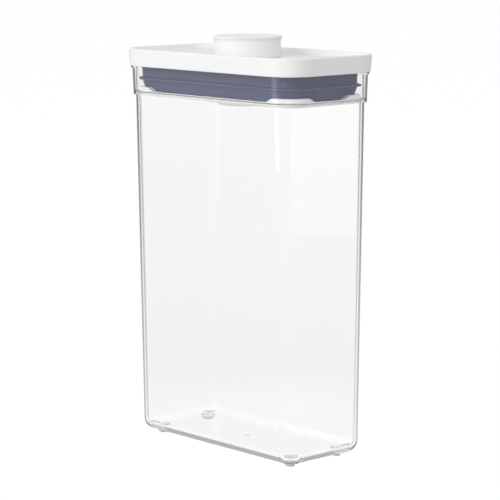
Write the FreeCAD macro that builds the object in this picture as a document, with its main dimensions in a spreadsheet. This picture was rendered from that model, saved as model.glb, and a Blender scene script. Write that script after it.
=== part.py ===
# Push-button food canister: a clear jar, a white lid in two shells, a silicone gasket and the lid's works.
# The origin is on the floor under the middle of the jar, X along the long side, Y across it and Z up.
# With the button up the lid is free. Pressing it lifts the gasket frame through two rockers to seal.
import FreeCAD
import Part
import math
import os
import re
import Sketcher

# Driving sizes in millimetres, grouped by piece. Outlines are offsets from the mouth of the jar.
SIZES = {
    # Jar
    "mouth_long": 150.5,
    "mouth_wide": 69.8,
    "mouth_corner": 13.5,
    "jar_height": 238.0,
    "collar_height": 18.2,
    "collar_wall": 2.2,
    "collar_draft": 0.6,
    "lip_overhang": 0.9,
    "lip_height": 1.3,
    "lip_round": 0.4,
    "shoulder_step": 1.6,
    "shoulder_round": 0.5,
    "ledge_thick": 2.0,
    "ledge_round": 0.9,
    "body_wall": 1.9,
    "base_taper": 3.2,
    "base_round": 7.0,
    "floor_thick": 3.2,
    "cavity_round": 4.0,
    "foot_height": 2.4,
    "foot_radius": 5.6,
    "foot_tip_radius": 3.5,
    "foot_sink": 1.0,
    "foot_inset_long": 11.85,
    "foot_inset_wide": 12.3,
    "gate_radius": 1.6,
    "gate_depth": 0.6,
    # Lid cover
    "lid_height": 10.9,
    "lid_overhang": 0.5,
    "lid_flare": 1.1,
    "cover_wall": 1.8,
    "rim_width": 2.2,
    "rim_round": 0.8,
    "skirt_round": 0.4,
    "tray_depth": 3.7,
    "tray_slope": 3.2,
    "tray_round": 2.0,
    "guide_clear": 0.4,
    "guide_wall": 1.6,
    "guide_depth": 5.1,
    "boss_radius": 3.0,
    "boss_reach": 34.0,
    "boss_gap": 4.6,
    # Lid base
    "fit_clear": 0.2,
    "flange_thick": 1.6,
    "plug_depth": 14.8,
    "plug_wall": 1.6,
    "plug_floor": 1.6,
    "hub_clear": 1.7,
    "hub_wall": 1.8,
    "hub_depth": 7.4,
    "hub_floor": 1.8,
    "hub_round": 4.0,
    "hub_bore_round": 1.6,
    "spigot_height": 3.0,
    "spigot_clear": 0.5,
    "window_clear": 0.8,
    "window_sink": 1.4,
    "slot_clear": 0.4,
    "ear_gap": 0.3,
    "ear_thick": 2.2,
    "ear_radius": 2.9,
    "pivot_rise": 3.8,
    "pivot_inset": 15.55,
    # Gasket and hub seal
    "gasket_gap": 5.0,
    "gasket_thick": 3.0,
    "gasket_height": 15.9,
    "gasket_taper": 1.5,
    "gasket_clear": 0.1,
    "fin_drop": 7.8,
    "fin_root": 2.0,
    "fin_tip": 1.4,
    "fin_clear": 2.3,
    "seal_height": 1.6,
    "seal_sink": 0.8,
    "seal_drop": 1.4,
    "seal_clear": 0.15,
    # Gasket frame
    "frame_inset": 2.6,
    "frame_slack": 0.3,
    "frame_floor": 1.2,
    "frame_clear": 0.3,
    "frame_round": 0.8,
    "pad_rise": 2.6,
    "pad_reach": 23.0,
    "pad_ramp": 5.0,
    "frame_hub_gap": 0.7,
    "frame_collar_wall": 1.5,
    "frame_collar_depth": 1.0,
    "lug_gap": 0.4,
    "lug_space": 0.6,
    "lug_thick": 2.0,
    "lug_radius": 2.6,
    "lug_clear": 0.25,
    # Button
    "button_radius": 20.6,
    "button_travel": 9.2,
    "button_proud": 0.1,
    "button_flare": 1.1,
    "flare_height": 3.0,
    "button_edge": 0.9,
    "button_edge_round": 0.35,
    "button_land": 1.8,
    "dish_depth": 0.9,
    "dish_bend_share": 0.75,
    "flare_bend_share": 0.25,
    "cap_wall": 1.8,
    "stop_lip": 1.8,
    "stop_thick": 1.5,
    "cap_boss_radius": 3.0,
    "core_gap": 2.3,
    "core_lip": 1.6,
    "core_roof": 2.0,
    "core_roof_drop": 6.0,
    "core_cavity_wall": 3.2,
    # Rockers and their pins
    "rocker_thick": 3.0,
    "rocker_width": 12.0,
    "rocker_boss": 3.1,
    "rocker_relief_width": 5.0,
    "rocker_relief_margin": 5.0,
    "tip_bite": 1.5,
    "pocket_clear": 0.5,
    "pin_radius": 1.5,
    "pin_clear": 0.05,
    "trunnion_radius": 1.4,
    # Latch
    "flat_cut": 3.5,
    "track_depth": 2.0,
    "track_clear": 0.35,
    "track_notch": 1.0,
    "latch_gap": 0.4,
    "latch_thick": 2.4,
    "latch_width": 3.0,
    "latch_boss": 2.4,
    "latch_reach": 13.0,
    "latch_rise": 3.6,
    "latch_swing_angle": 10.0,
    "peg_radius": 0.9,
    "peg_gap": 0.3,
    "latch_pin_radius": 1.0,
    "latch_pin_bite": 0.7,
    # Return spring
    "spring_radius": 5.8,
    "wire_radius": 0.55,
    "spring_clear": 1.0,
    "spring_seat": 0.05,
    # Screws
    "screw_radius": 1.1,
    "screw_clear": 0.05,
    "screw_head_radius": 2.3,
    "screw_head_drop": 0.3,
    "lid_screw_length": 9.0,
    "button_screw_length": 6.5,
    "button_screw_head": 1.4,
    # Cuts run past the face that they open by this much
    "overrun": 2.0,
}
SPRING_TURNS = 8
SPRING_STEPS_PER_TURN = 4
GAP_POINTS_PER_TURN = 48
PICK_TOLERANCE = 0.002

# Offsets from the mouth outline, heights and places that follow from the driving sizes
PLACES = {
    "lip_out": "collar_wall + lip_overhang",
    "collar_foot": "collar_wall - collar_draft",
    "body_out": "collar_foot - shoulder_step",
    "base_out": "body_out - base_taper",
    "body_in": "body_out - body_wall",
    "base_in": "base_out - body_wall",
    "lid_low": "lip_out + lid_overhang",
    "lid_high": "lid_low + lid_flare",
    "rim_in": "lid_high - rim_width",
    "tray_in": "rim_in - tray_slope",
    "flange_out": "lid_low - cover_wall - fit_clear",
    "plug_out": "0 - gasket_gap - gasket_thick - gasket_clear",
    "plug_in": "plug_out - plug_wall",
    "frame_in": "plug_out + frame_clear",
    "shoulder_z": "jar_height - collar_height",
    "ledge_z": "shoulder_z + ledge_thick",
    "cavity_z": "foot_height + floor_thick",
    "lid_top_z": "jar_height + lid_height",
    "tray_z": "lid_top_z - tray_depth",
    "cover_under_z": "tray_z - cover_wall",
    "guide_end_z": "cover_under_z - guide_depth",
    "plug_bottom_z": "jar_height - plug_depth",
    "plug_floor_z": "plug_bottom_z + plug_floor",
    "hub_bottom_z": "plug_bottom_z - hub_depth",
    "hub_floor_z": "hub_bottom_z + hub_floor",
    "gasket_bottom_z": "jar_height - gasket_height",
    "pad_top_z": "gasket_bottom_z + pad_rise",
    "frame_floor_z": "plug_bottom_z - seal_travel - frame_slack",
    "frame_bottom_z": "frame_floor_z - frame_floor",
    "button_top_z": "lid_top_z + button_travel + button_proud",
    "cap_under_z": "button_top_z - dish_depth - cap_wall",
    "cap_bottom_z": "guide_end_z - stop_thick",
    "guide_bore": "button_radius + guide_clear",
    "screw_hole": "screw_radius + screw_clear",
    "cap_in": "button_radius - cap_wall",
    "core_radius": "cap_in - core_gap",
    "core_bottom_z": "tip_z - rocker_thick / 2 - pocket_clear - core_lip",
    "core_roof_z": "cap_under_z - core_roof_drop",
    "spring_top_z": "core_roof_z - core_roof",
    "spring_bore": "spring_radius + wire_radius + spring_clear",
    "hub_bore": "core_radius + hub_clear",
    "hub_radius": "hub_bore + hub_wall",
    "frame_hole": "hub_radius + frame_hub_gap",
    "seal_top_z": "plug_bottom_z - seal_drop",
    "pivot_x": "mouth_long / 2 + plug_in - pivot_inset",
    "pivot_z": "plug_floor_z + pivot_rise",
    "rocker_reach": "pivot_x - core_radius + tip_bite",
    "tilt": "asin(button_travel / (2 * rocker_reach))",
    "tip_z": "pivot_z + button_travel / 2",
    "load_reach": "ear_radius + lug_radius + lug_space",
    "seal_travel": "button_travel * load_reach / rocker_reach",
    "load_x": "pivot_x + load_reach * cos(tilt)",
    "load_z": "pivot_z - load_reach * sin(tilt)",
    "window_far": "pivot_x - (pivot_rise - rocker_thick / 2 - window_clear) / sin(tilt)",
    "rocker_half": "rocker_width / 2",
    "ear_in": "rocker_half + ear_gap",
    "lug_in": "rocker_half + lug_gap",
    "boss_y": "mouth_wide / 2 + plug_in - boss_radius - boss_gap",
    "core_flat": "core_radius - flat_cut",
    "latch_y": "core_flat + latch_gap",
    "latch_z": "hub_floor_z + latch_rise",
    "latch_boss_y": "latch_y + latch_thick + ear_gap",
    "peg_side": "latch_reach * sin(latch_swing_angle)",
    "peg_low_z": "latch_z + latch_reach * cos(latch_swing_angle)",
    "peg_high_z": "latch_z + latch_reach",
    "track_reach": "peg_radius + track_clear",
}
SIDES = (-1, 1)

doc = FreeCAD.newDocument("canister")
sheet = doc.addObject("Spreadsheet::Sheet", "Sizes")
for row, (alias, size) in enumerate(SIZES.items(), 1):
    sheet.set("A%d" % row, alias)
    sheet.set("B%d" % row, str(size))
    sheet.setAlias("B%d" % row, alias)
doc.recompute()


def formula(text):
    """Write a size or place out as an expression on the sheet's cells."""
    def expand(match):
        word = match.group()
        if word in PLACES:
            return "(" + formula(PLACES[word]) + ")"
        return "Sizes." + word if word in SIZES else word
    return re.sub(r"[a-z_]+", expand, text)


def value(text):
    """Work a size or place out as a number."""
    found = sheet.evalExpression(formula(text))
    return float(getattr(found, "Value", found))


def bind(thing, prop, text):
    thing.setExpression(prop, formula(text))


# Sketches

def new_body(label):
    body = doc.addObject("PartDesign::Body", label)
    body.Label = label
    return body


def new_sketch(body, name, role="XY_Plane", lift="0"):
    """A sketch on one of the body's own planes, lifted along the plane's normal."""
    sketch = body.newObject("Sketcher::SketchObject", name)
    plane = next(part for part in body.Origin.OriginFeatures if part.Role == role)
    sketch.AttachmentSupport = [(plane, "")]
    sketch.MapMode = "FlatFace"
    bind(sketch, "AttachmentOffset.Base.z", lift)
    return sketch


def constrain(sketch, kind, *items, size=None):
    if size is None:
        sketch.addConstraint(Sketcher.Constraint(kind, *items))
        return
    index = sketch.addConstraint(Sketcher.Constraint(kind, *items, value(size)))
    bind(sketch, "Constraints[%d]" % index, size)


def pin_point(sketch, curve, end, place):
    """Hold a point of a sketch at a bound place; a plain zero puts it on the axis."""
    for kind, axis, size in (("DistanceX", -2, place[0]), ("DistanceY", -1, place[1])):
        if size == "0":
            constrain(sketch, "PointOnObject", curve, end, axis)
        else:
            constrain(sketch, kind, curve, end, size=size)


def spot(place):
    return FreeCAD.Vector(value(place[0]), value(place[1]), 0)


def draw_loop(sketch, corners, bulges=None):
    """Draw a closed loop through bound corners; the side after a corner can bend through a bulge point."""
    bulges = bulges or {}
    spots = [spot(place) for place in corners]
    sides = []
    for index, start in enumerate(spots):
        finish = spots[(index + 1) % len(spots)]
        first = 1
        if index in bulges:
            through = spot(bulges[index])
            curve = sketch.addGeometry(Part.Arc(start, through, finish), False)
            first = min((1, 2), key=lambda end: sketch.getPoint(curve, end).distanceToPoint(start))
        else:
            curve = sketch.addGeometry(Part.LineSegment(start, finish), False)
        sides.append((curve, first, 3 - first))
    for index, (curve, first, last) in enumerate(sides):
        following = sides[(index + 1) % len(sides)]
        constrain(sketch, "Coincident", curve, last, following[0], following[1])
        pin_point(sketch, curve, first, corners[index])
    for index, place in bulges.items():
        mark = sketch.addGeometry(Part.Point(spot(place)), True)
        pin_point(sketch, mark, 1, place)
        constrain(sketch, "PointOnObject", mark, 1, sides[index][0])


def draw_circle(sketch, centre, radius):
    curve = sketch.addGeometry(Part.Circle(spot(centre), FreeCAD.Vector(0, 0, 1), value(radius)), False)
    pin_point(sketch, curve, 3, centre)
    constrain(sketch, "Radius", curve, size=radius)


def draw_box(sketch, low, high):
    draw_loop(sketch, [low, (high[0], low[1]), high, (low[0], high[1])])


def draw_outline(sketch, offset):
    """Draw the rounded rectangle that lies the given offset outside the mouth of the jar."""
    half_long = "(mouth_long / 2 + (%s))" % offset
    half_wide = "(mouth_wide / 2 + (%s))" % offset
    corner = "(mouth_corner + (%s))" % offset
    corners = []
    bulges = {}
    for along, across, long_first in ((1, -1, False), (1, 1, True), (-1, 1, False), (-1, -1, True)):
        flat_x = "%d * (%s - %s)" % (along, half_long, corner)
        flat_y = "%d * (%s - %s)" % (across, half_wide, corner)
        edge_x = "%d * %s" % (along, half_long)
        edge_y = "%d * %s" % (across, half_wide)
        ends = [(edge_x, flat_y), (flat_x, edge_y)]
        bulges[len(corners)] = (flat_x + " + %d * %s * cos(45)" % (along, corner),
                                flat_y + " + %d * %s * cos(45)" % (across, corner))
        corners += ends if long_first else ends[::-1]
    draw_loop(sketch, corners, bulges)


def outline_sketch(body, name, offset, height):
    sketch = new_sketch(body, name, lift=height)
    draw_outline(sketch, offset)
    return sketch


def circle_sketch(body, name, height, radius, centres=(("0", "0"),)):
    sketch = new_sketch(body, name, lift=height)
    for centre in centres:
        draw_circle(sketch, centre, radius)
    return sketch


# Features

def add_feature(body, kind, name, sketch, length=None, flipped=False, both_ways=False):
    """A pad goes along the plane's normal and a pocket against it, unless flipped."""
    feature = body.newObject("PartDesign::" + kind, name)
    feature.Profile = sketch
    feature.Reversed = flipped
    feature.SideType = "Symmetric" if both_ways else "One side"
    bind(feature, "Length", length)
    return feature


def add_loft(body, kind, name, lower, upper):
    loft = body.newObject("PartDesign::" + kind, name)
    loft.Profile = lower
    loft.Sections = [upper]
    loft.Ruled = True
    return loft


def add_turned(body, kind, name, sketch):
    """Turn a sketch all the way round the body's upright axis."""
    turned = body.newObject("PartDesign::" + kind, name)
    turned.Profile = sketch
    turned.ReferenceAxis = (sketch, ["V_Axis"])
    return turned


def outline_distance(point):
    """Signed distance of a point, seen from above, from the mouth outline."""
    corner = value("mouth_corner")
    beyond_x = abs(point.x) - (value("mouth_long") / 2 - corner)
    beyond_y = abs(point.y) - (value("mouth_wide") / 2 - corner)
    outside = math.hypot(max(beyond_x, 0), max(beyond_y, 0))
    return outside + min(max(beyond_x, beyond_y), 0) - corner


def at_height(edge, height):
    return max(abs(edge.BoundBox.ZMin - height), abs(edge.BoundBox.ZMax - height)) < PICK_TOLERANCE


def on_outline(offset, height):
    """A test for the edges that run along one outline at one height."""
    offset, height = value(offset), value(height)

    def test(edge):
        middle = edge.valueAt((edge.FirstParameter + edge.LastParameter) / 2)
        return at_height(edge, height) and abs(outline_distance(middle) - offset) < PICK_TOLERANCE
    return test


def on_circle(radius, height):
    """A test for the round edges of one radius at one height."""
    radius, height = value(radius), value(height)

    def test(edge):
        if edge.Degenerated or not at_height(edge, height):
            return False
        return isinstance(edge.Curve, Part.Circle) and abs(edge.Curve.Radius - radius) < PICK_TOLERANCE
    return test


def soften(body, kind, name, size, test):
    """Fillet or chamfer the edges of the body that pass the test."""
    doc.recompute()
    base = body.Tip
    names = ["Edge%d" % (index + 1) for index, edge in enumerate(base.Shape.Edges) if test(edge)]
    feature = body.newObject("PartDesign::" + kind, name)
    feature.Base = (base, names)
    bind(feature, "Radius" if kind == "Fillet" else "Size", size)


# Jar

def make_jar():
    body = new_body("jar_body")
    add_loft(body, "AdditiveLoft", "jar_walls",
             outline_sketch(body, "jar_base_outline", "base_out", "foot_height"),
             outline_sketch(body, "jar_shoulder_outline", "body_out", "shoulder_z"))
    add_loft(body, "AdditiveLoft", "jar_collar",
             outline_sketch(body, "jar_collar_foot", "collar_foot", "shoulder_z"),
             outline_sketch(body, "jar_collar_top", "collar_wall", "jar_height"))
    lip = outline_sketch(body, "jar_lip_outline", "lip_out", "jar_height - lip_height")
    add_feature(body, "Pad", "jar_lip", lip, "lip_height")
    soften(body, "Fillet", "jar_base_round", "base_round", on_outline("base_out", "foot_height"))
    soften(body, "Fillet", "jar_shoulder_round", "shoulder_round", on_outline("collar_foot", "shoulder_z"))
    add_loft(body, "SubtractiveLoft", "jar_cavity",
             outline_sketch(body, "jar_cavity_floor", "base_in", "cavity_z"),
             outline_sketch(body, "jar_cavity_top", "body_in", "ledge_z"))
    mouth = outline_sketch(body, "jar_mouth_outline", "0", "jar_height")
    add_feature(body, "Pocket", "jar_mouth", mouth, "jar_height - ledge_z")
    soften(body, "Fillet", "jar_cavity_round", "cavity_round", on_outline("base_in", "cavity_z"))
    soften(body, "Fillet", "jar_ledge_round", "ledge_round", on_outline("body_in", "ledge_z"))
    soften(body, "Fillet", "jar_ledge_hollow", "ledge_round", on_outline("0", "ledge_z"))
    soften(body, "Fillet", "jar_lip_round", "lip_round", on_outline("lip_out", "jar_height"))
    foot_x = "mouth_long / 2 + base_out - foot_inset_long"
    foot_y = "mouth_wide / 2 + base_out - foot_inset_wide"
    for along in SIDES:
        for across in SIDES:
            place = [("%d * (%s)" % (along, foot_x), "%d * (%s)" % (across, foot_y))]
            tip = circle_sketch(body, "foot_tip", "0", "foot_tip_radius", place)
            root = circle_sketch(body, "foot_root", "foot_height + foot_sink", "foot_radius", place)
            add_loft(body, "AdditiveLoft", "jar_foot", tip, root)
    gate = circle_sketch(body, "gate_circle", "foot_height", "gate_radius")
    add_feature(body, "Pocket", "gate_mark", gate, "gate_depth", flipped=True)
    return body


# Lid cover and base

def screw_places():
    return [("%d * boss_reach" % along, "%d * boss_y" % across) for along in SIDES for across in SIDES]


def make_cover():
    body = new_body("lid_cover")
    add_loft(body, "AdditiveLoft", "cover_block",
             outline_sketch(body, "cover_low_outline", "lid_low", "jar_height"),
             outline_sketch(body, "cover_high_outline", "lid_high", "lid_top_z"))
    add_loft(body, "SubtractiveLoft", "cover_tray",
             outline_sketch(body, "tray_floor_outline", "tray_in", "tray_z"),
             outline_sketch(body, "tray_rim_outline", "rim_in", "lid_top_z"))
    soften(body, "Fillet", "tray_floor_round", "tray_round", on_outline("tray_in", "tray_z"))
    soften(body, "Fillet", "rim_inner_round", "rim_round", on_outline("rim_in", "lid_top_z"))
    soften(body, "Fillet", "rim_outer_round", "rim_round", on_outline("lid_high", "lid_top_z"))
    soften(body, "Fillet", "skirt_edge_round", "skirt_round", on_outline("lid_low", "jar_height"))
    hollow = outline_sketch(body, "hollow_outline", "lid_low - cover_wall", "jar_height")
    add_feature(body, "Pocket", "cover_hollow", hollow, "cover_under_z - jar_height", flipped=True)
    guide = circle_sketch(body, "guide_circle", "guide_end_z", "guide_bore + guide_wall")
    add_feature(body, "Pad", "button_guide", guide, "guide_depth")
    bosses = circle_sketch(body, "boss_circles", "plug_floor_z", "boss_radius", screw_places())
    add_feature(body, "Pad", "screw_bosses", bosses, "cover_under_z - plug_floor_z")
    pilots = circle_sketch(body, "pilot_circles", "plug_floor_z", "screw_hole", screw_places())
    add_feature(body, "Pocket", "boss_pilots", pilots, "lid_screw_length", flipped=True)
    bore = circle_sketch(body, "bore_circle", "lid_top_z", "guide_bore")
    add_feature(body, "Pocket", "button_bore", bore, "lid_top_z - guide_end_z + overrun")
    soften(body, "Fillet", "bore_edge_round", "skirt_round", on_circle("guide_bore", "tray_z"))
    return body


def rounded_post(sketch, centre_x, centre_z, radius, foot_z):
    """An upright post with a round head about a centre, drawn on a plane along X and Z."""
    left = "%s - (%s)" % (centre_x, radius)
    right = "%s + (%s)" % (centre_x, radius)
    top = "%s + (%s)" % (centre_z, radius)
    corners = [(left, foot_z), (right, foot_z), (right, centre_z), (left, centre_z)]
    draw_loop(sketch, corners, {2: (centre_x, top)})


def paired_posts(body, name, centre_x, centre_z, radius, foot_z, near, thick, hole):
    """Posts on both sides of both rockers, with a hole across each pair."""
    for across in SIDES:
        # The plane's normal points along -Y
        sketch = new_sketch(body, name + "_outline", "XZ_Plane", "%d * (%s)" % (-across, near))
        for along in SIDES:
            rounded_post(sketch, "%d * (%s)" % (along, centre_x), centre_z, radius, foot_z)
        add_feature(body, "Pad", name, sketch, thick, flipped=across > 0)
    holes = new_sketch(body, name + "_hole_circles", "XZ_Plane")
    for along in SIDES:
        draw_circle(holes, ("%d * (%s)" % (along, centre_x), centre_z), hole)
    reach = "2 * (%s + %s + overrun)" % (near, thick)
    add_feature(body, "Pocket", name + "_holes", holes, reach, both_ways=True)


def make_base():
    body = new_body("lid_base")
    flange = outline_sketch(body, "flange_outline", "flange_out", "jar_height")
    add_feature(body, "Pad", "base_flange", flange, "flange_thick")
    plug = outline_sketch(body, "plug_outline", "plug_out", "plug_bottom_z")
    add_feature(body, "Pad", "base_plug", plug, "plug_depth")
    hollow = outline_sketch(body, "plug_hollow_outline", "plug_in", "jar_height + flange_thick")
    add_feature(body, "Pocket", "plug_hollow", hollow, "plug_depth + flange_thick - plug_floor")
    hub = circle_sketch(body, "hub_circle", "hub_bottom_z", "hub_radius")
    add_feature(body, "Pad", "base_hub", hub, "hub_depth")
    hub_bore = circle_sketch(body, "hub_bore_circle", "plug_floor_z", "hub_bore")
    add_feature(body, "Pocket", "hub_hollow", hub_bore, "plug_floor_z - hub_floor_z")
    soften(body, "Fillet", "hub_edge_round", "hub_round", on_circle("hub_radius", "hub_bottom_z"))
    soften(body, "Fillet", "hub_floor_round", "hub_bore_round", on_circle("hub_bore", "hub_floor_z"))
    spigot = circle_sketch(body, "spigot_circle", "hub_floor_z", "spring_radius - wire_radius - spigot_clear")
    add_feature(body, "Pad", "spring_spigot", spigot, "spigot_height")
    groove = new_sketch(body, "seal_groove_outline", "XZ_Plane")
    draw_box(groove, ("hub_radius - seal_sink", "seal_top_z - seal_height"),
             ("hub_radius + overrun", "seal_top_z"))
    add_turned(body, "Groove", "seal_groove", groove)
    windows = new_sketch(body, "window_outline", lift="plug_floor_z")
    slots = new_sketch(body, "lug_slot_outline", lift="plug_floor_z")
    for along in SIDES:
        half = "rocker_half + window_clear"
        draw_box(windows, ("%d * (hub_bore - hub_wall)" % along, "0 - (%s)" % half),
                 ("%d * (window_far)" % along, half))
        for across in SIDES:
            low = ("%d * (load_x - lug_radius - slot_clear)" % along, "%d * (lug_in - slot_clear)" % across)
            high = ("%d * (load_x + lug_radius + slot_clear)" % along,
                    "%d * (lug_in + lug_thick + slot_clear)" % across)
            draw_box(slots, low, high)
    add_feature(body, "Pocket", "rocker_windows", windows, "plug_floor + window_sink")
    add_feature(body, "Pocket", "lug_slots", slots, "plug_floor")
    paired_posts(body, "pivot_ears", "pivot_x", "pivot_z", "ear_radius", "plug_floor_z",
                 "ear_in", "ear_thick", "pin_radius + pin_clear")
    # The plane's normal points along -Y
    boss = new_sketch(body, "latch_boss_circle", "XZ_Plane", "0 - latch_boss_y")
    draw_circle(boss, ("0", "latch_z"), "latch_boss")
    add_feature(body, "Pad", "latch_boss", boss, "hub_bore + hub_wall / 2 - latch_boss_y", flipped=True)
    bore = new_sketch(body, "latch_bore_circle", "XZ_Plane", "0 - latch_boss_y")
    draw_circle(bore, ("0", "latch_z"), "latch_pin_radius + pin_clear")
    add_feature(body, "Pocket", "latch_bore", bore, "hub_bore + latch_pin_bite - latch_boss_y")
    holes = circle_sketch(body, "screw_hole_circles", "plug_bottom_z", "screw_hole", screw_places())
    add_feature(body, "Pocket", "screw_holes", holes, "plug_floor", flipped=True)
    soften(body, "Chamfer", "screw_countersinks", "screw_head_radius - screw_radius",
           on_circle("screw_hole", "plug_bottom_z"))
    return body


# Gasket, frame and hub seal

def make_gasket():
    body = new_body("gasket")
    spine = outline_sketch(body, "gasket_spine", "0 - gasket_gap", "jar_height")
    section = new_sketch(body, "gasket_section", "XZ_Plane")
    face = "mouth_long / 2 - gasket_gap"
    tip = "mouth_long / 2 - fin_clear"
    fin_z = "jar_height - fin_drop"
    draw_loop(section, [
        (face, "jar_height"),
        (face, fin_z + " + fin_root / 2"),
        (tip, fin_z + " + fin_tip / 2"),
        (tip, fin_z + " - fin_tip / 2"),
        (face, fin_z + " - fin_root / 2"),
        (face + " - gasket_taper", "gasket_bottom_z"),
        (face + " - gasket_thick", "gasket_bottom_z"),
        (face + " - gasket_thick", "jar_height"),
    ])
    pipe = body.newObject("PartDesign::AdditivePipe", "gasket_ring")
    pipe.Profile = section
    pipe.Spine = (spine, [])
    for along in SIDES:
        for across in SIDES:
            blocks = []
            for inward, height in (("0", "gasket_bottom_z"), ("pad_ramp", "pad_top_z")):
                sketch = new_sketch(body, "corner_notch_outline", lift=height)
                low = ("%d * (mouth_long / 2 - pad_reach + %s)" % (along, inward),
                       "%d * (mouth_wide / 2 - pad_reach + %s)" % (across, inward))
                high = ("%d * (mouth_long / 2 + overrun)" % along, "%d * (mouth_wide / 2 + overrun)" % across)
                draw_box(sketch, low, high)
                blocks.append(sketch)
            add_loft(body, "SubtractiveLoft", "corner_notch", *blocks)
    return body


def make_frame():
    body = new_body("gasket_frame")
    block = outline_sketch(body, "frame_outline", "0 - frame_inset", "frame_bottom_z")
    add_feature(body, "Pad", "frame_block", block, "pad_top_z - frame_bottom_z")
    recess = outline_sketch(body, "recess_outline", "frame_in", "pad_top_z")
    add_feature(body, "Pocket", "frame_recess", recess, "pad_top_z - frame_floor_z")
    ways = (("XZ_Plane", "mouth_long", "mouth_wide"), ("YZ_Plane", "mouth_wide", "mouth_long"))
    for role, side, length in ways:
        gap = new_sketch(body, "pad_gap_outline", role)
        low = "(%s / 2 - pad_reach)" % side
        high = "(%s / 2 - pad_reach + pad_ramp)" % side
        draw_loop(gap, [("0 - " + low, "gasket_bottom_z"), (low, "gasket_bottom_z"),
                        (high, "pad_top_z"), ("0 - " + high, "pad_top_z")])
        add_feature(body, "Pocket", "pad_gap", gap, length + " + overrun", both_ways=True)
    soften(body, "Fillet", "frame_edge_round", "frame_round",
           on_outline("0 - frame_inset", "frame_bottom_z"))
    collar_z = "frame_bottom_z - frame_collar_depth"
    collar = circle_sketch(body, "collar_circle", collar_z, "frame_hole + frame_collar_wall")
    add_feature(body, "Pad", "frame_collar", collar, "frame_collar_depth")
    bore = circle_sketch(body, "frame_bore_circle", "pad_top_z", "frame_hole")
    add_feature(body, "Pocket", "frame_bore", bore, "pad_top_z - (%s) + overrun" % collar_z)
    paired_posts(body, "frame_lugs", "load_x", "load_z", "lug_radius", "frame_floor_z",
                 "lug_in", "lug_thick", "trunnion_radius + lug_clear")
    return body


def make_hub_seal():
    body = new_body("hub_seal")
    section = new_sketch(body, "seal_section", "XZ_Plane")
    inner = "hub_radius - seal_sink + seal_clear / 2"
    outer = "frame_hole - seal_clear"
    shoulder = "hub_radius"
    top = "seal_top_z - seal_clear / 2"
    bottom = "seal_top_z - seal_height + seal_clear / 2"
    middle = "seal_top_z - seal_height / 2"
    corners = [(inner, bottom), (shoulder, bottom), (shoulder, top), (inner, top)]
    draw_loop(section, corners, {1: (outer, middle)})
    add_turned(body, "Revolution", "seal_ring", section)
    return body


# Button

def make_button_cap():
    body = new_body("button_cap")
    rim = "(button_radius + button_flare)"
    stop = "(button_radius + stop_lip)"
    pilot_z = "core_roof_z + button_screw_length - core_roof"
    dish_bend = ("(%s - button_land) / 2" % rim, "button_top_z - dish_depth * dish_bend_share")
    flare_bend = ("button_radius + button_flare * flare_bend_share",
                  "button_top_z - button_edge - (flare_height - button_edge) / 2")
    section = new_sketch(body, "cap_section", "XZ_Plane")
    draw_loop(section, [
        ("0", "button_top_z - dish_depth"),
        (rim + " - button_land", "button_top_z"),
        (rim, "button_top_z"),
        (rim, "button_top_z - button_edge"),
        ("button_radius", "button_top_z - flare_height"),
        ("button_radius", "guide_end_z"),
        (stop, "guide_end_z"),
        (stop, "cap_bottom_z"),
        ("cap_in", "cap_bottom_z"),
        ("cap_in", "cap_under_z"),
        ("cap_boss_radius", "cap_under_z"),
        ("cap_boss_radius", "core_roof_z"),
        ("screw_hole", "core_roof_z"),
        ("screw_hole", pilot_z),
        ("0", pilot_z),
    ], {0: dish_bend, 3: flare_bend})
    add_turned(body, "Revolution", "cap_turned", section)
    soften(body, "Fillet", "cap_edge_round", "button_edge_round", on_circle(rim, "button_top_z"))
    return body


def make_button_core():
    body = new_body("button_core")
    spool = circle_sketch(body, "core_circle", "core_bottom_z", "core_radius")
    add_feature(body, "Pad", "core_spool", spool, "cap_under_z - core_bottom_z")
    spring_bore = circle_sketch(body, "spring_bore_circle", "core_bottom_z", "spring_bore")
    add_feature(body, "Pocket", "spring_bore", spring_bore, "spring_top_z - core_bottom_z", flipped=True)
    cavity = circle_sketch(body, "cavity_circle", "cap_under_z", "core_flat - core_cavity_wall")
    add_feature(body, "Pocket", "core_cavity", cavity, "core_roof_drop")
    screw_hole = circle_sketch(body, "core_screw_circle", "core_roof_z", "screw_hole")
    add_feature(body, "Pocket", "core_screw_hole", screw_hole, "core_roof")
    flat = new_sketch(body, "latch_flat_outline", lift="cap_under_z")
    beyond = "core_radius + overrun"
    draw_box(flat, ("0 - (%s)" % beyond, "core_flat"), (beyond, beyond))
    add_feature(body, "Pocket", "latch_flat", flat, "cap_under_z - core_bottom_z + overrun")
    pockets = new_sketch(body, "rocker_pocket_outline", "XZ_Plane")
    reach = "rocker_thick / 2 + pocket_clear"
    for along in SIDES:
        low = ("%d * (core_radius - tip_bite - (%s))" % (along, reach), "tip_z - (%s)" % reach)
        draw_box(pockets, low, ("%d * (core_radius + overrun)" % along, "tip_z + %s" % reach))
    add_feature(body, "Pocket", "rocker_pockets", pockets, "rocker_width + 2 * pocket_clear", both_ways=True)
    make_heart_track(body)
    return body


def make_heart_track(body):
    """The latch track on the flat: two channels round a heart-shaped island whose notch holds the peg."""
    # The plane's normal points along -Y
    track = new_sketch(body, "heart_track_outline", "XZ_Plane", "0 - core_flat")
    draw_box(track, ("0 - peg_side - track_reach", "peg_low_z - track_reach"),
             ("peg_side + track_reach", "peg_high_z + button_travel + track_reach"))
    half = "(peg_side - track_reach)"
    foot_z = "peg_high_z + track_reach"
    head_z = "peg_low_z + button_travel - track_reach"
    ramp_z = foot_z + " + " + half
    draw_loop(track, [("0", foot_z), (half, ramp_z), (half, head_z), ("0", head_z + " - track_notch"),
                      ("0 - " + half, head_z), ("0 - " + half, ramp_z)])
    add_feature(body, "Pocket", "heart_track", track, "track_depth", flipped=True)


# Rockers, latch and pins

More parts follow.
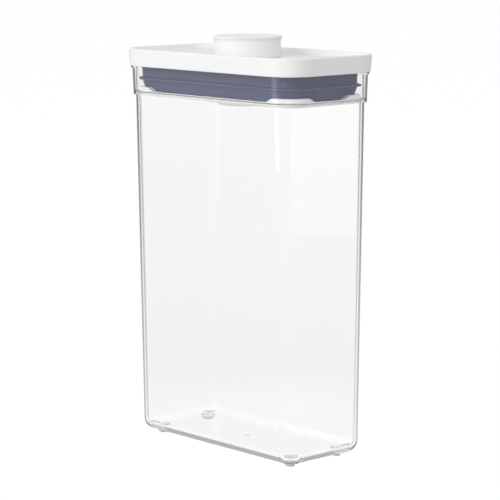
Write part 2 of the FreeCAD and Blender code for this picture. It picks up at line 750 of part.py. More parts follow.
def lean(body, axis, angle):
    """Turn a body about its own origin by a bound angle."""
    turn = FreeCAD.Rotation(FreeCAD.Vector(*axis), value(angle))
    body.Placement = FreeCAD.Placement(FreeCAD.Vector(), turn)
    bind(body, "Placement.Rotation.Angle", angle)


def make_rocker(label, side):
    """A lever with its pivot at its own origin: a long arm to the button and a short tail to the frame."""
    body = new_body(label)
    tip = "%d * rocker_reach" % -side
    nose = "%d * (rocker_reach + rocker_thick / 2)" % -side
    tail = "%d * load_reach" % side
    heel = "%d * (load_reach + rocker_thick / 2)" % side
    half = "rocker_thick / 2"
    arm = new_sketch(body, "arm_outline", "XZ_Plane")
    draw_loop(arm, [(tail, half), (tip, half), (tip, "0 - " + half), (tail, "0 - " + half)],
              {1: (nose, "0"), 3: (heel, "0")})
    add_feature(body, "Pad", "rocker_arm", arm, "rocker_width", both_ways=True)
    boss = new_sketch(body, "boss_circle", "XZ_Plane")
    draw_circle(boss, ("0", "0"), "rocker_boss")
    add_feature(body, "Pad", "rocker_boss", boss, "rocker_width", both_ways=True)
    trunnion = new_sketch(body, "trunnion_circle", "XZ_Plane")
    draw_circle(trunnion, (tail, "0"), "trunnion_radius")
    add_feature(body, "Pad", "rocker_trunnion", trunnion, "2 * (lug_in + lug_thick)", both_ways=True)
    bore = new_sketch(body, "pin_bore_circle", "XZ_Plane")
    draw_circle(bore, ("0", "0"), "pin_radius + pin_clear")
    add_feature(body, "Pocket", "pin_bore", bore, "rocker_width + overrun", both_ways=True)
    relief = new_sketch(body, "relief_outline", lift=half)
    draw_box(relief, ("%d * (rocker_boss + rocker_relief_margin)" % -side, "0 - rocker_relief_width / 2"),
             ("%d * (rocker_reach - rocker_relief_margin)" % -side, "rocker_relief_width / 2"))
    add_feature(body, "Pocket", "rocker_relief", relief, "rocker_thick")
    lean(body, (0, side, 0), "tilt")
    bind(body, "Placement.Base.x", "%d * pivot_x" % side)
    bind(body, "Placement.Base.z", "pivot_z")
    return body


def make_latch_arm():
    """The swinging arm, with its pivot at its own origin and its peg at the upper end."""
    body = new_body("latch_arm")
    pivot = new_sketch(body, "pivot_circle", "XZ_Plane")
    draw_circle(pivot, ("0", "0"), "latch_boss")
    add_feature(body, "Pad", "latch_pivot", pivot, "latch_thick", flipped=True)
    half = "latch_width / 2"
    web = new_sketch(body, "web_outline", "XZ_Plane")
    corners = [("0 - " + half, "0"), (half, "0"), (half, "latch_reach"), ("0 - " + half, "latch_reach")]
    draw_loop(web, corners, {2: ("0", "latch_reach + " + half)})
    add_feature(body, "Pad", "latch_web", web, "latch_thick", flipped=True)
    peg = new_sketch(body, "peg_circle", "XZ_Plane")
    draw_circle(peg, ("0", "latch_reach"), "peg_radius")
    add_feature(body, "Pad", "latch_peg", peg, "latch_gap + track_depth - peg_gap")
    bore = new_sketch(body, "latch_pin_circle", "XZ_Plane")
    draw_circle(bore, ("0", "0"), "latch_pin_radius + pin_clear")
    add_feature(body, "Pocket", "latch_pin_bore", bore, "latch_thick")
    lean(body, (0, -1, 0), "latch_swing_angle")
    bind(body, "Placement.Base.y", "latch_y")
    bind(body, "Placement.Base.z", "latch_z")
    return body


def make_cross_pin(label, radius, length, start_y, height, along="0"):
    """A plain pin that lies along Y."""
    pin = doc.addObject("Part::Cylinder", label)
    pin.Label = label
    bind(pin, "Radius", radius)
    bind(pin, "Height", length)
    pin.Placement = FreeCAD.Placement(FreeCAD.Vector(), FreeCAD.Rotation(FreeCAD.Vector(-1, 0, 0), 90))
    bind(pin, "Placement.Base.x", along)
    bind(pin, "Placement.Base.y", start_y)
    bind(pin, "Placement.Base.z", height)
    return pin


# Screws and spring

def make_screw(name, place, seat_z, head_kind, head_size, length):
    """A screw that points up: its head at the seat height, its shank above."""
    head = doc.addObject(head_kind, name + "_head")
    shank = doc.addObject("Part::Cylinder", name + "_shank")
    for prop, text in head_size.items():
        bind(head, prop, text)
    bind(shank, "Radius", "screw_radius")
    bind(shank, "Height", length)
    for piece in (head, shank):
        bind(piece, "Placement.Base.x", place[0])
        bind(piece, "Placement.Base.y", place[1])
        bind(piece, "Placement.Base.z", seat_z)
    screw = doc.addObject("Part::Fuse", name)
    screw.Base = head
    screw.Tool = shank
    return screw


def make_lid_screws():
    head = {"Radius1": "screw_head_radius - screw_head_drop", "Radius2": "screw_radius",
            "Height": "screw_head_radius - screw_head_drop - screw_radius"}
    seat = "plug_bottom_z + screw_head_drop"
    length = "lid_screw_length - screw_head_drop"
    group = doc.addObject("Part::Compound", "lid_screws")
    group.Label = "lid_screws"
    group.Links = [make_screw("lid_screw", place, seat, "Part::Cone", head, length) for place in screw_places()]
    return group


def make_button_screw():
    head = {"Radius": "screw_head_radius", "Height": "button_screw_head"}
    seat = "spring_top_z - button_screw_head"
    length = "button_screw_head + button_screw_length"
    screw = make_screw("button_screw", ("0", "0"), seat, "Part::Cylinder", head, length)
    screw.Label = "button_screw"
    return screw


def make_spring():
    """A coil of one unbroken wire, swept along quarter turns that climb at a steady rate."""
    radius = value("spring_radius")
    wire = value("wire_radius")
    low = value("hub_floor_z + spring_seat") + wire
    high = value("spring_top_z - spring_seat") - wire

    def on_coil(turn):
        angle = 2 * math.pi * turn
        climb = low + (high - low) * turn / SPRING_TURNS
        return FreeCAD.Vector(radius * math.cos(angle), radius * math.sin(angle), climb)

    def heading(turn):
        angle = 2 * math.pi * turn
        rise = (high - low) / SPRING_TURNS / (2 * math.pi * radius)
        return FreeCAD.Vector(-math.sin(angle), math.cos(angle), rise).normalize()

    edges = []
    for step in range(SPRING_TURNS * SPRING_STEPS_PER_TURN):
        turns = [(step + share) / SPRING_STEPS_PER_TURN for share in (0, 1)]
        edges += biarc(on_coil(turns[0]), heading(turns[0]), on_coil(turns[1]), heading(turns[1]))
    path = Part.Wire(edges)
    section = Part.Wire(Part.Circle(on_coil(0), heading(0), wire).toShape())
    coil = Part.BRepOffsetAPI.MakePipeShell(path)
    coil.add(section)
    coil.build()
    coil.makeSolid()
    count = SPRING_TURNS * GAP_POINTS_PER_TURN + 1
    points = [on_coil(index / GAP_POINTS_PER_TURN) for index in range(count)]
    apart = GAP_POINTS_PER_TURN // 2
    gap = min(points[first].distanceToPoint(points[second]) for first in range(len(points))
              for second in range(first + apart, len(points))) - 2 * wire
    print("return_spring least gap to itself: %.2f mm" % gap)
    spring = doc.addObject("Part::Feature", "return_spring")
    spring.Label = "return_spring"
    spring.Shape = coil.shape()
    spring.Placement = FreeCAD.Placement()
    return spring


def biarc(start, start_way, finish, finish_way):
    """Two tangent arcs from one point and heading to another."""
    chord = finish - start
    both = start_way + finish_way
    spread = 2 * (1 - start_way.dot(finish_way))
    lean = chord.dot(both)
    reach = (math.sqrt(lean * lean + spread * chord.dot(chord)) - lean) / spread
    first_knee = start + start_way * reach
    last_knee = finish - finish_way * reach
    middle = (first_knee + last_knee) * (1 / 2)
    return [tangent_arc(start, start_way, middle), tangent_arc(finish, finish_way * -1, middle)]


def tangent_arc(start, way, finish):
    """The arc that leaves a point along a heading and ends at another point."""
    chord = finish - start
    side = (chord - way * chord.dot(way)).normalize()
    radius = chord.dot(chord) / (2 * chord.dot(side))
    centre = start + side * radius
    halfway = (start + finish) * (1 / 2) - centre
    return Part.Arc(start, centre + halfway.normalize() * radius, finish).toShape()


# Assembly

pin_length = "2 * (ear_in + ear_thick)"
pin_start = "0 - ear_in - ear_thick"
latch_pin_length = "hub_bore + latch_pin_bite - latch_y"
pieces = [
    make_jar(),
    make_cover(),
    make_base(),
    make_gasket(),
    make_frame(),
    make_hub_seal(),
    make_button_cap(),
    make_button_core(),
    make_rocker("rocker_left", -1),
    make_rocker("rocker_right", 1),
    make_latch_arm(),
    make_cross_pin("rocker_pin_left", "pin_radius", pin_length, pin_start, "pivot_z", "0 - pivot_x"),
    make_cross_pin("rocker_pin_right", "pin_radius", pin_length, pin_start, "pivot_z", "pivot_x"),
    make_cross_pin("latch_pin", "latch_pin_radius", latch_pin_length, "latch_y", "latch_z"),
    make_lid_screws(),
    make_button_screw(),
    make_spring(),
]
doc.recompute()

for thing in doc.Objects:
    if {"Invalid", "Error"} & set(thing.State):
        raise RuntimeError("%s failed: %s" % (thing.Label, thing.State))
for piece in pieces:
    if piece.Shape.isNull() or not piece.Shape.isValid():
        raise RuntimeError("%s has no valid shape" % piece.Label)

os.makedirs("parts", exist_ok=True)
for piece in pieces:
    piece.Shape.exportStep(os.path.join("parts", piece.Label + ".step"))
    print("%-18s %10.1f mm3  %d solid(s)" % (piece.Label, piece.Shape.Volume, len(piece.Shape.Solids)))
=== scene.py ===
# The looks of a tall clear food canister with a white push-button lid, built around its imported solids
import bmesh
import bpy
import math
from mathutils import Matrix, Vector


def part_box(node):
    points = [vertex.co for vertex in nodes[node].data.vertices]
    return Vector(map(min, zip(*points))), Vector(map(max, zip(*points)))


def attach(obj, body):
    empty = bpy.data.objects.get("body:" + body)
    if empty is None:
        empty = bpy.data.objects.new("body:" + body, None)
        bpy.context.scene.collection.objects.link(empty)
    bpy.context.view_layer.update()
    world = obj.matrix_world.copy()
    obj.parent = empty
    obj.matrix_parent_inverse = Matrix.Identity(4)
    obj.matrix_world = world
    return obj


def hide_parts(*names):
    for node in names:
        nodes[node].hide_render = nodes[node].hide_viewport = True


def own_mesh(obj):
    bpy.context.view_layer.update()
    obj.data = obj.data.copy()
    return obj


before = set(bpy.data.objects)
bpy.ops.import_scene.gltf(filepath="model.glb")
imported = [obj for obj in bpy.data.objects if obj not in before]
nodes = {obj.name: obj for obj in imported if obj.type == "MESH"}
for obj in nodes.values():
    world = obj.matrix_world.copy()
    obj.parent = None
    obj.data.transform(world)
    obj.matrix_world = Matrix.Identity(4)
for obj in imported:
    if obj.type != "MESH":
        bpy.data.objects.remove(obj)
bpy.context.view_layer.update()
MM = 0.001

# Meshes
MERGE_DISTANCE = 0.001 * MM
SHARP_ANGLE = math.radians(40)
CREASE_ANGLE = math.radians(30)
STEEP = 0.5

# Camera, as found from the photograph's edges
IMAGE_WIDTH_PX = 500
FOCAL_PX = 2164.1
MIDDLE_PX = (248.06, 249.84)
SENSOR_MM = 36.0
CAMERA_AZIMUTH = math.radians(47.9)
CAMERA_ELEVATION = math.radians(8.91)
CAMERA_ROLL = math.radians(-0.173)
CAMERA_DISTANCE = 1.3588
CAMERA_TARGET = Vector((0, 0, 0.12405))

# Studio floor: what it gives back to the lamps, what the eye sees, and a painted glow near the object in
# mirrors and a painted pool of light under the jar
FLOOR_HALF = 12.0
FLOOR_BOUNCE = 0.75
FLOOR_SEEN = 0.12
FLOOR_LIFT = 0.93
PAINTED_MIRROR_GLOW = (0.56, 0.33)
MIRROR_FADE = (0.25, 1.3)
PAINTED_POOL_GLOW = (1.0, FLOOR_LIFT)
POOL_FADE = (0.08, 0.25)

# Studio light
SKY_LOW = 0.88
SKY_HIGH = 0.38
KEY_POWER = 9.5
KEY_PLACE = Vector((-0.1, -1.6, 0.8))
KEY_SIZE = (1.1, 1.1)
FILL_POWER = 4.0
FILL_PLACE = Vector((1.0, -0.9, 1.2))
FILL_SIZE = (0.9, 0.9)
STRIP_POWER = 0.8
STRIP_PLACE = Vector((-0.47, -0.874, 0.3))
STRIP_SIZE = (0.45, 0.55)
TOP_POWER = 1.5
TOP_PLACE = Vector((0.1, 0.15, 1.5))
TOP_SIZE = (1.2, 1.2)

# Gasket: a ring with one fin, raised at its corners where the frame's pads lift it
FIN_REACH = 2.7 * MM
FIN_DROP = 7.8 * MM
FIN_ROOT = 2.0 * MM
FIN_TIP = 1.4 * MM
FIN_CORNER = 11.2 * MM
GASKET_THICK = 3.0 * MM
GASKET_TAPER = 1.5 * MM
GASKET_EDGE_ROUND = 0.3 * MM
GASKET_ROUND_STEPS = 3
GASKET_FOOT = 0.5 * MM
PAD_RISE = 2.6 * MM
PAD_START = 20.7 * MM
PAD_RAMP = 5.0 * MM
CORNER_STEPS = 24

# Finishes: scales are per metre, ranges say which part of a cloudy noise counts
CLOUD_RANGE = (0.3, 0.7)
GLOSS_FINENESS = 4.0
GRAIN_DETAIL = 3.0
GRAIN_STRENGTH = 0.25
HAIR_DETAIL = 4.0
HAIR_STRETCH = (0.05, 1.0, 1.0)
HAIR_RANGE = (0.58, 0.7)
WHITE_HAIR_SCALE = 900.0
WIPE_SCALE = 14.0
WIPE_RANGE = (0.42, 0.62)

# Clear plastic: gloss, flow marks and how it dims light inside
CLEAR_IOR = 1.5
CLEAR_DENSITY = 5.0
CLEAR_CLOUD_SCALE = 60.0
CLEAR_ROUGH = 0.02
CLEAR_HAIR_SCALE = 700.0
CLEAR_HAIR_AMOUNT = 0.03
FLOW_SCALE = 18.0
FLOW_STRENGTH = 0.06
FLOW_HEIGHT = 0.6 * MM

# Clear plastic: painted shade in a wall's colour, low down and high up, square on and darker along a
# corner's edge seen edge on, and on the feet
PAINTED_WALL_SHADE = (0.935, 0.998)
PAINTED_EDGE_SHADE = (0.28, 0.03)
EDGE_START = 0.48
EDGE_END = 0.65
JAR_TOP = 220.0 * MM
JAR_CORNER = (61.75 * MM, 21.4 * MM)
CORNER_BLEND = 0.5 * MM
FOOT_TOP = 2.3 * MM
FOOT_SHADE = 0.9
SHADOW_TINT = 0.9
DEEPEST_BOUNCE = 5.5

# Hub seal
SEAL_ROUND = 0.5 * MM
SEAL_ROUND_STEPS = 6
SEAL_DEPTH = 1.275 * MM
TURN_STEPS = 128

# Return spring
WIRE_RADIUS = 0.55 * MM
WIRE_SIDES = 14
SPRING_TURNS = 8
SPRING_STEPS_PER_TURN = 56


# Mesh helpers

def finish_mesh(bm, name, material):
    """Turn a bmesh into a piece with outward faces and a finish."""
    bmesh.ops.remove_doubles(bm, verts=bm.verts, dist=MERGE_DISTANCE)
    bmesh.ops.recalc_face_normals(bm, faces=bm.faces)
    mesh = bpy.data.meshes.new(name)
    bm.to_mesh(mesh)
    bm.free()
    mesh.materials.append(material)
    mesh.shade_smooth()
    mesh.set_sharp_from_angle(angle=SHARP_ANGLE)
    piece = bpy.data.objects.new(name, mesh)
    bpy.context.scene.collection.objects.link(piece)
    return piece


def open_edges(items):
    """The edges among some mesh elements that border one face only."""
    return [item for item in items if isinstance(item, bmesh.types.BMEdge) and item.is_boundary]


def ring_points(ring):
    """The points of a ring of edges."""
    return list({vert for edge in ring for vert in edge.verts})


class Plan:
    """A rounded rectangle whose offsets share their corner centres."""

    def __init__(self, half_long, half_wide, corner):
        self.half = (half_long, half_wide)
        self.corner = corner
        self.middle = (half_long - corner, half_wide - corner)

    def start(self, bm, offset, height, corner_steps):
        """The outline at an offset, as a ring of edges."""
        bmesh.ops.create_grid(bm, x_segments=1, y_segments=1, size=1)
        size = (self.half[0] + offset, self.half[1] + offset, 1)
        bmesh.ops.scale(bm, vec=size, verts=bm.verts)
        bmesh.ops.bevel(bm, geom=bm.verts[:], offset=self.corner + offset, offset_type="OFFSET",
                        affect="VERTICES", segments=corner_steps, profile=0.5, material=-1)
        bmesh.ops.translate(bm, vec=(0, 0, height), verts=bm.verts)
        bmesh.ops.delete(bm, geom=bm.faces[:], context="FACES_ONLY")
        return bm.edges[:]

    def move_out(self, verts, grow):
        """Move points straight out from the outline's skeleton."""
        for vert in verts:
            core = Vector((max(-self.middle[0], min(self.middle[0], vert.co.x)),
                           max(-self.middle[1], min(self.middle[1], vert.co.y)), vert.co.z))
            vert.co += (vert.co - core).normalized() * grow

    def climb(self, bm, ring, grow, rise):
        """Extrude a ring, grow its outline and lift it."""
        ring = open_edges(bmesh.ops.extrude_edge_only(bm, edges=ring)["geom"])
        verts = ring_points(ring)
        self.move_out(verts, grow)
        bmesh.ops.translate(bm, vec=(0, 0, rise), verts=verts)
        return ring


# Node groups for effects that several finishes share

def new_group(name, inputs, outputs):
    """A shader node group with named value and colour sockets."""
    group = bpy.data.node_groups.new(name, "ShaderNodeTree")
    for label, kind in inputs:
        group.interface.new_socket(label, in_out="INPUT", socket_type="NodeSocket" + kind)
    for label, kind in outputs:
        group.interface.new_socket(label, in_out="OUTPUT", socket_type="NodeSocket" + kind)
    return group, group.nodes.new("NodeGroupInput").outputs, group.nodes.new("NodeGroupOutput").inputs


def feed(tree, socket, source):
    """Set a socket to a number or a colour, or link it to another socket."""
    if isinstance(source, bpy.types.NodeSocket):
        tree.links.new(source, socket)
    else:
        socket.default_value = source


def own_place(tree):
    """Where a point lies on its own piece."""
    return tree.nodes.new("ShaderNodeTexCoord").outputs["Object"]


def parts_of(tree, vector):
    """The X, Y and Z of a vector."""
    split = tree.nodes.new("ShaderNodeSeparateXYZ")
    tree.links.new(vector, split.inputs["Vector"])
    return split.outputs


def noise(tree, scale, detail=2.0, stretch=None):
    """Cloudy noise on the piece's own coordinates, drawn out along an axis if stretched."""
    where = own_place(tree)
    if stretch:
        mapping = tree.nodes.new("ShaderNodeMapping")
        mapping.inputs["Scale"].default_value = stretch
        tree.links.new(where, mapping.inputs["Vector"])
        where = mapping.outputs["Vector"]
    cloud = tree.nodes.new("ShaderNodeTexNoise")
    cloud.inputs["Detail"].default_value = detail
    feed(tree, cloud.inputs["Scale"], scale)
    tree.links.new(where, cloud.inputs["Vector"])
    return cloud.outputs["Fac"]


def spread(tree, value, low, high, from_low=0.0, from_high=1.0, easing="LINEAR"):
    """Map a value from one range to another, and hold it at the ends."""
    ramp = tree.nodes.new("ShaderNodeMapRange")
    ramp.interpolation_type = easing
    ramp.inputs["From Min"].default_value = from_low
    ramp.inputs["From Max"].default_value = from_high
    feed(tree, ramp.inputs["To Min"], low)
    feed(tree, ramp.inputs["To Max"], high)
    tree.links.new(value, ramp.inputs["Value"])
    return ramp.outputs["Result"]


def two_tone(tree, value, first, second):
    """A colour between two others."""
    mix = tree.nodes.new("ShaderNodeMix")
    mix.data_type = "RGBA"
    feed(tree, mix.inputs["A"], first)
    feed(tree, mix.inputs["B"], second)
    tree.links.new(value, mix.inputs["Factor"])
    return mix.outputs["Result"]


def blend_of(tree, factor, first, second):
    """A number between two others."""
    mix = tree.nodes.new("ShaderNodeMix")
    feed(tree, mix.inputs["A"], first)
    feed(tree, mix.inputs["B"], second)
    tree.links.new(factor, mix.inputs["Factor"])
    return mix.outputs["Result"]


def reckon(tree, first, second, operation="ADD"):
    """The result of one operation on two numbers."""
    step = tree.nodes.new("ShaderNodeMath")
    step.operation = operation
    feed(tree, step.inputs[0], first)
    feed(tree, step.inputs[1], second)
    return step.outputs[0]


def make_mould_skin():
    """The skin of a moulded piece: slight drift of colour, uneven gloss and a fine grain."""
    group, given, result = new_group(
        "mould_skin",
        [("First Color", "Color"), ("Second Color", "Color"), ("Patch Scale", "Float"),
         ("Grain Scale", "Float"), ("Rough Low", "Float"), ("Rough High", "Float")],
        [("Color", "Color"), ("Roughness", "Float"), ("Grain", "Float")])
    patches = noise(group, given["Patch Scale"])
    shade = spread(group, patches, 0.0, 1.0, *CLOUD_RANGE)
    group.links.new(two_tone(group, shade, given["First Color"], given["Second Color"]), result["Color"])
    gloss = noise(group, reckon(group, given["Patch Scale"], GLOSS_FINENESS, "MULTIPLY"))
    gloss = spread(group, gloss, given["Rough Low"], given["Rough High"], *CLOUD_RANGE)
    group.links.new(gloss, result["Roughness"])
    group.links.new(noise(group, given["Grain Scale"], GRAIN_DETAIL), result["Grain"])
    return group


def make_hairlines():
    """Faint wiping marks that run along the piece and dull its gloss."""
    group, given, result = new_group(
        "hairlines", [("Scale", "Float"), ("Amount", "Float")], [("Mask", "Float")])
    strands = noise(group, given["Scale"], HAIR_DETAIL, stretch=HAIR_STRETCH)
    marks = spread(group, strands, 0.0, given["Amount"], *HAIR_RANGE)
    patches = spread(group, noise(group, WIPE_SCALE), 0.0, 1.0, *WIPE_RANGE)
    group.links.new(reckon(group, marks, patches, "MULTIPLY"), result["Mask"])
    return group


mould_skin = make_mould_skin()
hairlines = make_hairlines()


def place_group(tree, group, **values):
    """Put a group into a material with its own values, given by the sockets' names in lower case."""
    node = tree.nodes.new("ShaderNodeGroup")
    node.node_tree = group
    for socket in node.inputs:
        socket.default_value = values[socket.name.lower().replace(" ", "_")]
    return node.outputs


# Materials

def new_material(name):
    """A material with its node tree and its surface shader."""
    material = bpy.data.materials.new(name)
    material.use_nodes = True
    tree = material.node_tree
    return material, tree, tree.nodes["Principled BSDF"]


def bump(tree, height, strength, distance):
    """A normal that follows a height over the surface."""
    node = tree.nodes.new("ShaderNodeBump")
    node.inputs["Strength"].default_value = strength
    node.inputs["Distance"].default_value = distance
    tree.links.new(height, node.inputs["Height"])
    return node.outputs["Normal"]


def moulded(name, first, second, rough, patch_scale, grain_scale, grain_depth, wiped=0.0):
    """A moulded plastic or rubber, with wiping marks where it is wiped."""
    material, tree, shell = new_material(name)
    skin = place_group(tree, mould_skin, first_color=(*first, 1), second_color=(*second, 1),
                       patch_scale=patch_scale, grain_scale=grain_scale,
                       rough_low=rough[0], rough_high=rough[1])
    tree.links.new(skin["Color"], shell.inputs["Base Color"])
    gloss = skin["Roughness"]
    if wiped:
        marks = place_group(tree, hairlines, scale=WHITE_HAIR_SCALE, amount=wiped)["Mask"]
        gloss = reckon(tree, gloss, marks)
    tree.links.new(gloss, shell.inputs["Roughness"])
    tree.links.new(bump(tree, skin["Grain"], GRAIN_STRENGTH, grain_depth), shell.inputs["Normal"])
    return material


def jar_corners(tree):
    """1 on the jar's four rounded corners and 0 on its flat sides: where the painted edge shade goes."""
    place = parts_of(tree, own_place(tree))
    sides = []
    for axis, start in zip("XY", JAR_CORNER):
        away = reckon(tree, place[axis], 0.0, "ABSOLUTE")
        sides.append(spread(tree, away, 0.0, 1.0, start - CORNER_BLEND, start + CORNER_BLEND))
    return reckon(tree, *sides, "MULTIPLY")


def clear_plastic():
    """Clear moulded plastic: lamps shine through, painted shade darkens corners edge on, the lower walls and
    the feet, trapped rays are let out.
    """
    material, tree, shell = new_material("clear_plastic")
    height = parts_of(tree, own_place(tree))["Z"]
    level = parts_of(tree, tree.nodes.new("ShaderNodeNewGeometry").outputs["Normal"])["Z"]
    # painted shade: walls darker towards the bottom, none where a face lies flat
    wall_shade = spread(tree, height, *PAINTED_WALL_SHADE, 0.0, JAR_TOP)
    wall_shade = blend_of(tree, reckon(tree, level, 0.0, "ABSOLUTE"), wall_shade, 1.0)
    # painted shade: a dark band along the jar's corners seen edge on, darker towards the top
    edge = tree.nodes.new("ShaderNodeLayerWeight").outputs["Facing"]
    edge = spread(tree, edge, 0.0, 1.0, EDGE_START, EDGE_END, "SMOOTHSTEP")
    edge = reckon(tree, edge, jar_corners(tree), "MULTIPLY")
    # painted shade on the feet, in the painted edge shade's colour
    feet = spread(tree, height, FOOT_SHADE, 0.0, FOOT_TOP - CORNER_BLEND, FOOT_TOP)
    edge = reckon(tree, edge, feet, "MAXIMUM")
    edge_shade = spread(tree, height, *PAINTED_EDGE_SHADE, 0.0, JAR_TOP)
    tree.links.new(blend_of(tree, edge, wall_shade, edge_shade), shell.inputs["Base Color"])
    shell.inputs["Transmission Weight"].default_value = 1.0
    shell.inputs["IOR"].default_value = CLEAR_IOR
    clouds = spread(tree, noise(tree, CLEAR_CLOUD_SCALE), 0.0, CLEAR_ROUGH, *CLOUD_RANGE)
    marks = place_group(tree, hairlines, scale=CLEAR_HAIR_SCALE, amount=CLEAR_HAIR_AMOUNT)["Mask"]
    tree.links.new(reckon(tree, clouds, marks), shell.inputs["Roughness"])
    flow = bump(tree, noise(tree, FLOW_SCALE), FLOW_STRENGTH, FLOW_HEIGHT)
    tree.links.new(flow, shell.inputs["Normal"])
    shadow = tree.nodes.new("ShaderNodeBsdfTransparent")
    shadow.inputs["Color"].default_value = (SHADOW_TINT, SHADOW_TINT, SHADOW_TINT, 1)
    path = tree.nodes.new("ShaderNodeLightPath")
    mix = tree.nodes.new("ShaderNodeMixShader")
    out = tree.nodes["Material Output"]
    trapped = reckon(tree, path.outputs["Ray Depth"], DEEPEST_BOUNCE, "GREATER_THAN")
    tree.links.new(reckon(tree, path.outputs["Is Shadow Ray"], trapped, "MAXIMUM"), mix.inputs["Fac"])
    tree.links.new(shell.outputs["BSDF"], mix.inputs[1])
    tree.links.new(shadow.outputs["BSDF"], mix.inputs[2])
    tree.links.new(mix.outputs["Shader"], out.inputs["Surface"])
    dim = tree.nodes.new("ShaderNodeVolumeAbsorption")
    dim.inputs["Color"].default_value = (0.0, 0.0, 0.0, 1)
    dim.inputs["Density"].default_value = CLEAR_DENSITY
    tree.links.new(dim.outputs["Volume"], out.inputs["Volume"])
    return material


def drawn_steel():
    """Bright steel with fine, uneven gloss."""
    material, tree, shell = new_material("drawn_steel")
    shell.inputs["Metallic"].default_value = 1.0
    skin = place_group(tree, mould_skin, first_color=(0.62, 0.62, 0.64, 1),
                       second_color=(0.74, 0.74, 0.75, 1), patch_scale=220.0, grain_scale=2400.0,
                       rough_low=0.22, rough_high=0.36)
    tree.links.new(skin["Color"], shell.inputs["Base Color"])
    tree.links.new(skin["Roughness"], shell.inputs["Roughness"])
    grain = bump(tree, skin["Grain"], strength=0.2, distance=0.02 * MM)
    tree.links.new(grain, shell.inputs["Normal"])
    return material


white = moulded("white_plastic", first=(0.865, 0.865, 0.865), second=(0.885, 0.885, 0.885), rough=(0.3, 0.4),
                patch_scale=35.0, grain_scale=2600.0, grain_depth=0.03 * MM, wiped=0.08)
inner = moulded("inner_plastic", first=(0.76, 0.76, 0.75), second=(0.81, 0.81, 0.8), rough=(0.42, 0.55),
                patch_scale=40.0, grain_scale=1800.0, grain_depth=0.04 * MM)
silicone = moulded("silicone", first=(0.07, 0.085, 0.162), second=(0.078, 0.094, 0.178), rough=(0.5, 0.62),
                   patch_scale=45.0, grain_scale=1500.0, grain_depth=0.05 * MM)
steel = drawn_steel()
clear = clear_plastic()

finishes = {"white_plastic": white, "inner_plastic": inner, "grey_silicone": silicone, "steel": steel,
            "clear_plastic": clear}
for node in nodes.values():
    for place in node.material_slots:
        place.material = finishes[place.material.name.split(".")[0]]


# Soft and wound pieces


def pad_lift(point, corner):
    """How far the frame's corner pads lift the gasket's lower edge at a point."""
    ramps = [(abs(point[axis]) - (corner[axis] - PAD_START)) / PAD_RAMP for axis in (0, 1)]
    return PAD_RISE * max(0.0, min(1.0, *ramps))


def make_gasket():
    """The soft ring around the plug, drawn from its top edge round the fin and back up its inside."""
    low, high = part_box("gasket")
    plan = Plan(high.x, high.y, FIN_CORNER)
    fin_z = high.z - FIN_DROP
    bm = bmesh.new()
    top = plan.start(bm, -FIN_REACH, high.z, CORNER_STEPS)
    root_top = plan.climb(bm, top, 0, fin_z + FIN_ROOT / 2 - high.z)
    tip_top = plan.climb(bm, root_top, FIN_REACH, (FIN_TIP - FIN_ROOT) / 2)
    tip_low = plan.climb(bm, tip_top, 0, -FIN_TIP)
    root_low = plan.climb(bm, tip_low, -FIN_REACH, (FIN_TIP - FIN_ROOT) / 2)
    foot = plan.climb(bm, root_low, -GASKET_TAPER, low.z - (fin_z - FIN_ROOT / 2))
    inside = plan.climb(bm, foot, GASKET_TAPER - GASKET_THICK, 0)
    plan.climb(bm, inside, 0, high.z - low.z)
    bmesh.ops.bridge_loops(bm, edges=[edge for edge in bm.edges if edge.is_boundary])
    for axis in (0, 1):
        for edge in (high[axis] - PAD_START, high[axis] - PAD_START + PAD_RAMP):
            for side in (-1, 1):
                spot = [0, 0, 0]
                spot[axis] = side * edge
                way = [0, 0, 0]
                way[axis] = 1
                bmesh.ops.bisect_plane(bm, geom=bm.verts[:] + bm.edges[:] + bm.faces[:],
                                       plane_co=spot, plane_no=way)
    for vert in bm.verts:
        if vert.co.z < low.z + GASKET_FOOT:
            vert.co.z += pad_lift(vert.co, high)
    rounded = [edge for edge in bm.edges if edge.calc_face_angle(0) > CREASE_ANGLE
               and abs((edge.verts[1].co - edge.verts[0].co).normalized().z) < STEEP]
    bmesh.ops.bevel(bm, geom=rounded, offset=GASKET_EDGE_ROUND, affect="EDGES",
                    segments=GASKET_ROUND_STEPS, profile=0.5, material=-1, clamp_overlap=True)
    gasket = finish_mesh(bm, "silicone_gasket", silicone)
    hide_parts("gasket")
    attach(gasket, "lid")
    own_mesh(gasket)


def make_hub_seal():
    """The small soft ring between hub and frame."""
    low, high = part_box("hub_seal")
    bm = bmesh.new()
    bmesh.ops.create_grid(bm, x_segments=1, y_segments=1, size=1)
    bmesh.ops.rotate(bm, verts=bm.verts, matrix=Matrix.Rotation(math.radians(90), 3, "X"))
    bmesh.ops.scale(bm, vec=(SEAL_DEPTH / 2, 1, (high.z - low.z) / 2), verts=bm.verts)
    bmesh.ops.translate(bm, vec=(high.x - SEAL_DEPTH / 2, 0, (low.z + high.z) / 2), verts=bm.verts)
    outer = [vert for vert in bm.verts if vert.co.x > high.x - SEAL_DEPTH / 2]
    bmesh.ops.bevel(bm, geom=outer, offset=SEAL_ROUND, affect="VERTICES", segments=SEAL_ROUND_STEPS,
                    profile=0.5, material=-1)
    bmesh.ops.delete(bm, geom=bm.faces[:], context="FACES_ONLY")
    bmesh.ops.spin(bm, geom=bm.verts[:] + bm.edges[:], cent=(0, 0, 0), axis=(0, 0, 1),
                   angle=2 * math.pi, steps=TURN_STEPS, use_merge=True)
    seal = finish_mesh(bm, "silicone_hub_ring", silicone)
    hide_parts("hub_seal")
    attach(seal, "lid")


